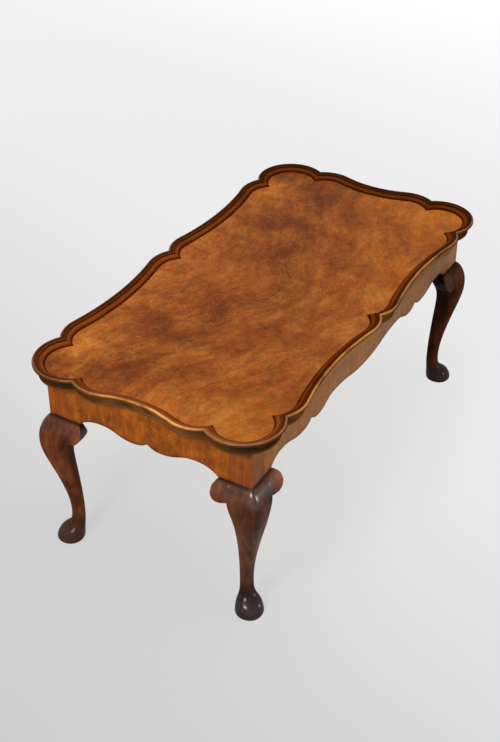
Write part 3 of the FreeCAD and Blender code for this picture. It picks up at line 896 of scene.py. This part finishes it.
def leg_finish():
    """Dark polished walnut: redder on the posts and ears, nearly black at the feet."""
    finish = Finish("dark_walnut_leg")
    x, y, z = finish.parts(finish.place)
    bend = finish.noise(finish.place, 12, 2.0, 0.5, colour=True)
    bent = finish.add(finish.place, bend, 0.012)

    # Figure, in the tones of shank, ear, post and foot
    streaks = finish.grain(bent, (110, 110, 7), 5.0, 0.62)
    threads = finish.grain(bent, (640, 640, 22), 3.0, 0.55)
    cloud = finish.noise(finish.place, 26, 4.0, 0.6)
    figure = finish.total((streaks, 0.55), (cloud, 0.45))
    shank = finish.ramp(figure, (
        (0.32, tone(50, 21, 10)), (0.46, tone(82, 40, 20)), (0.58, tone(110, 57, 29)),
        (0.72, tone(134, 75, 41)),
    ))
    ear = finish.ramp(figure, (
        (0.32, tone(76, 32, 12)), (0.46, tone(112, 54, 22)), (0.58, tone(136, 70, 30)),
        (0.72, tone(152, 84, 40)),
    ))
    post = finish.ramp(figure, (
        (0.32, tone(110, 48, 13)), (0.46, tone(146, 72, 22)), (0.58, tone(168, 86, 28)),
        (0.72, tone(188, 106, 40)),
    ))
    foot = finish.ramp(figure, (
        (0.35, tone(22, 11, 9)), (0.55, tone(44, 26, 20)), (0.72, tone(70, 45, 36)),
    ))

    # Feet, paler away from the left front, and cleaner ears
    low = finish.total((z, 1.0), (cloud, 0.05))
    footing = finish.ramp(low, ((0.045, 1.0), (0.095, 0.0)), True)
    away = finish.calc("MAXIMUM", finish.span(x, -0.2, 0.2), finish.span(y, -0.1, 0.1))
    foot = finish.mix(finish.times(away, 0.34), foot, tone(92, 60, 42))
    colour = finish.mix(footing, shank, foot)
    clean = finish.own("ear")
    colour = finish.mix(finish.calc("MULTIPLY", clean, 0.75, clamp=True), colour, ear)

    # Soil and painted shade behind the legs and round the ears, and the left front ear rubbed with painted
    # light
    arris = finish.own("arris")
    high = finish.ramp(z, ((0.05, 0.0), (0.12, 0.40), (0.20, 0.75), (0.235, 1.0)))
    # soil and painted shade on the inner sides under the rails, deeper towards the top
    soil_and_shade = finish.times(finish.calc("MINIMUM", arris, 0.0), high)
    soil_and_shade = finish.calc("MULTIPLY", finish.calc("MINIMUM", clean, soil_and_shade), -0.9, clamp=True)
    colour = finish.mix(soil_and_shade, colour, tone(26, 13, 8))
    # the left front ear's end lighter: wear and painted light
    rubbed_and_lit = finish.times(
        finish.ramp(clean, ((0.35, 0.20), (0.80, 0.60))), finish.ramp(clean, ((0.0, 0.0), (0.2, 1.0))),
        finish.span(y, -0.18, -0.165, 1.0, 0.0), finish.span(x, -0.3, 0.1, 1.0, 0.0),
    )
    colour = finish.mix(rubbed_and_lit, colour, tone(190, 90, 26))

    # Painted shade darker towards the right, warmer at the back, and the posts with a painted sheen along
    # the front
    # painted shade: the right legs darker
    left = finish.span(x, 0.0, 0.4, 1.0, 0.0)
    left = finish.calc("MAXIMUM", left, finish.times(footing, 0.75))
    colour = finish.mix(1.0, colour, finish.span(left, 0.0, 1.0, 0.68, 1.0), "MULTIPLY")
    warmer = finish.ramp(finish.span(y, 0.0, 0.15), ((0.0, (1, 1, 1, 1)), (1.0, (1.30, 1.26, 1.06, 1))))
    colour = finish.mix(1.0, colour, warmer, "MULTIPLY")
    # painted sheen on the posts' front faces
    paler = finish.times(finish.span(y, -0.1885, -0.1893), finish.span(x, -0.2, 0.2, 0.25, 0.75))
    above = finish.ramp(z, ((0.2704, 0.0), (0.2716, 1.0)))
    colour = finish.mix(above, colour, finish.mix(paler, post, tone(170, 118, 60)))
    line = finish.ramp(threads, ((0.28, 0.70), (0.46, 1.0), (0.75, 1.07)))
    colour = finish.mix(0.6, colour, line, "MULTIPLY")

    # The crease where knee and post meet, dark with dirt and painted shade
    wander = finish.calc("MULTIPLY_ADD", finish.calc("SUBTRACT", cloud, 0.5), 0.004, z)
    crease = finish.ramp(finish.span(wander, 0.262, 0.278), (
        (0.26, 0.0), (0.50, 0.92), (0.60, 0.92), (0.76, 0.0),
    ))
    arris = finish.calc("MAXIMUM", arris, 0.0)
    crease = finish.times(crease, finish.less(arris, 0.3))
    colour = finish.mix(crease, colour, tone(36, 17, 9))

    # Polish, brightest on the knee's arris and the toe
    worn = finish.noise(finish.place, 45, 4.0, 0.65)
    roughness = finish.span(worn, 0.3, 0.7, 0.24, 0.36)
    roughness = finish.calc("MULTIPLY_ADD", finish.calc("MAXIMUM", crease, soil_and_shade), 0.5, roughness)
    knee = finish.ramp(finish.span(z, 0.235, 0.275), ((0.10, 0.0), (0.45, 1.0), (0.80, 1.0), (0.90, 0.0)))
    shine = finish.times(finish.calc("MULTIPLY_ADD", arris, 0.6, 0.4), knee)
    shine = finish.calc("ADD", shine, finish.span(y, 0.0, 0.15, 0.26, 0.12))
    toe = finish.ramp(finish.span(z, 0.0, 0.045), (
        (0.0, 0.45), (0.40, 0.72), (0.66, 0.40), (1.0, 0.0),
    ), True)
    toe = finish.times(toe, finish.span(away, 0.0, 1.0, 1.0, 0.5))
    shine = finish.calc("MAXIMUM", shine, toe, clamp=True)
    lit = finish.calc("MAXIMUM", left, above)
    shine = finish.times(shine, finish.span(lit, 0.0, 1.0, 0.12, 1.0))
    normal = finish.bump(finish.total((cloud, 1.0), (threads, 0.1)), 0.0006, 0.25)
    return finish.polish(colour, roughness, normal, coat=shine, coat_roughness=0.2, specular=0.0)


def pine_finish():
    """Bare old pine under the top, browned with age."""
    finish = Finish("aged_pine_carcase")
    bend = finish.noise(finish.place, 6, 2.0, 0.5, colour=True)
    bent = finish.add(finish.place, bend, 0.03)
    streaks = finish.grain(bent, (5, 90, 90), 5.0, 0.6)
    threads = finish.grain(bent, (30, 500, 500), 3.0, 0.55)
    cloud = finish.noise(finish.place, 9, 3.0, 0.5)
    figure = finish.total((streaks, 0.6), (cloud, 0.4))
    colour = finish.ramp(figure, (
        (0.32, tone(108, 74, 42)), (0.48, tone(146, 106, 64)), (0.60, tone(168, 128, 82)),
        (0.72, tone(182, 146, 98)),
    ))
    line = finish.ramp(threads, ((0.30, 0.75), (0.50, 1.0), (0.75, 1.05)))
    colour = finish.mix(0.7, colour, line, "MULTIPLY")
    roughness = finish.span(cloud, 0.3, 0.7, 0.62, 0.78)
    return finish.polish(colour, roughness, finish.bump(threads, 0.0005, 0.5))


def dress(names, material):
    """Gives construction nodes a finish."""
    for name in names:
        mesh = nodes[name].data
        mesh.materials.clear()
        mesh.materials.append(material)


# Room: the floor's greys along a line across it, and how much of them it shows by itself, near and far
floor_reach = 14
floor_line = (0.965, -0.264)
floor_greys = (
    (-9, 250), (-4, 234), (-2, 215), (-0.8, 203), (-0.5, 210), (-0.335, 216), (-0.2, 223), (0.1, 233),
    (0.49, 241), (1.06, 242), (1.6, 250), (2.2, 255),
)
floor_glow = (0.6, 2.4, 0.84, 1.0)

# The sky as light and as seen, and the soft boxes' places, sizes and powers
sky_light, sky_shown = 0.17, 0.96
lamp_target = Vector((0, 0, 0.25))
lamps = (
    ("left_box", (-1.95, 0.0, 1.7), (0.6, 0.6), 28),
    ("right_box", (0.85, -2.05, 0.45), (0.22, 0.5), 7),
    ("top_box", (-0.15, -0.1, 2.4), (1.5, 1.5), 31),
)

camera_place = (-1.6785, -0.9394, 1.5497)
camera_turn = (math.radians(54.6), 0, math.radians(-59.686))
camera_lens = 63.0


def make_floor():
    """A plain pale floor, lighter far off, that keeps the table's shadow."""
    bm = bmesh.new()
    bmesh.ops.create_grid(bm, x_segments=1, y_segments=1, size=floor_reach)
    mesh = bpy.data.meshes.new("floor")
    bm.to_mesh(mesh)
    bm.free()
    floor = bpy.data.objects.new("floor", mesh)
    bpy.context.scene.collection.objects.link(floor)
    finish = Finish("pale_floor")
    x, y, _ = finish.parts(finish.place)
    across = finish.total((x, floor_line[0]), (y, floor_line[1]))
    first, last = floor_greys[0][0], floor_greys[-1][0]
    stops = [((place - first) / (last - first), tone(grey, grey, grey)) for place, grey in floor_greys]
    colour = finish.ramp(finish.span(across, first, last), stops)
    matt = finish.node("ShaderNodeBsdfDiffuse", {"Color": colour})
    glow = finish.node("ShaderNodeEmission", {"Color": colour})
    path = finish.node("ShaderNodeLightPath")
    seen = finish.calc("MAXIMUM", path.outputs["Is Glossy Ray"], path.outputs["Is Transmission Ray"])
    seen = finish.calc("MAXIMUM", path.outputs["Is Camera Ray"], seen)
    glowing = finish.span(finish.length(finish.place), *floor_glow)
    blend = finish.node("ShaderNodeMixShader", {
        0: finish.times(seen, glowing), 1: matt.outputs[0], 2: glow.outputs[0],
    })
    finish.node("ShaderNodeOutputMaterial", {0: blend.outputs[0]})
    mesh.materials.append(finish.material)


def make_sky():
    """Soft light all round, seen brighter than it lights."""
    world = bpy.data.worlds.new("soft_daylight")
    world.use_nodes = True
    tree = world.node_tree
    tree.nodes.clear()
    path = tree.nodes.new("ShaderNodeLightPath")
    blend = tree.nodes.new("ShaderNodeMixShader")
    for socket, strength in ((blend.inputs[1], sky_light), (blend.inputs[2], sky_shown)):
        sky = tree.nodes.new("ShaderNodeBackground")
        sky.inputs["Color"].default_value = (1, 1, 1, 1)
        sky.inputs["Strength"].default_value = strength
        tree.links.new(sky.outputs[0], socket)
    shown = path.outputs["Is Camera Ray"]
    for kind in ("Is Glossy Ray", "Is Transmission Ray"):
        either = tree.nodes.new("ShaderNodeMath")
        either.operation = "MAXIMUM"
        tree.links.new(shown, either.inputs[0])
        tree.links.new(path.outputs[kind], either.inputs[1])
        shown = either.outputs[0]
    tree.links.new(shown, blend.inputs[0])
    output = tree.nodes.new("ShaderNodeOutputWorld")
    tree.links.new(blend.outputs[0], output.inputs[0])
    bpy.context.scene.world = world


def make_lamp(name, place, size, power):
    """A soft box turned to the table."""
    lamp = bpy.data.lights.new(name, "AREA")
    lamp.shape = "RECTANGLE"
    lamp.size, lamp.size_y = size
    lamp.energy = power
    box = bpy.data.objects.new(name, lamp)
    bpy.context.scene.collection.objects.link(box)
    box.location = place
    box.rotation_euler = (lamp_target - Vector(place)).to_track_quat("-Z", "Y").to_euler()


def make_camera():
    """The camera, over the table's left front corner."""
    lens = bpy.data.cameras.new("camera")
    lens.lens = camera_lens
    camera = bpy.data.objects.new("camera", lens)
    bpy.context.scene.collection.objects.link(camera)
    camera.location = camera_place
    camera.rotation_euler = camera_turn
    bpy.context.scene.camera = camera


def make_room():
    """Floor, soft light and camera."""
    make_floor()
    make_sky()
    for lamp in lamps:
        make_lamp(*lamp)
    make_camera()
    bpy.context.scene.view_settings.view_transform = "Standard"


make_rims(rim_finish())
make_aprons(apron_finish())
leg_walnut = leg_finish()
make_legs(leg_walnut)
make_ears(leg_walnut)
make_field(field_finish())
dress([name for name in nodes if name.startswith(("rail_", "glue_block_", "top_panel"))], pine_finish())
make_room()
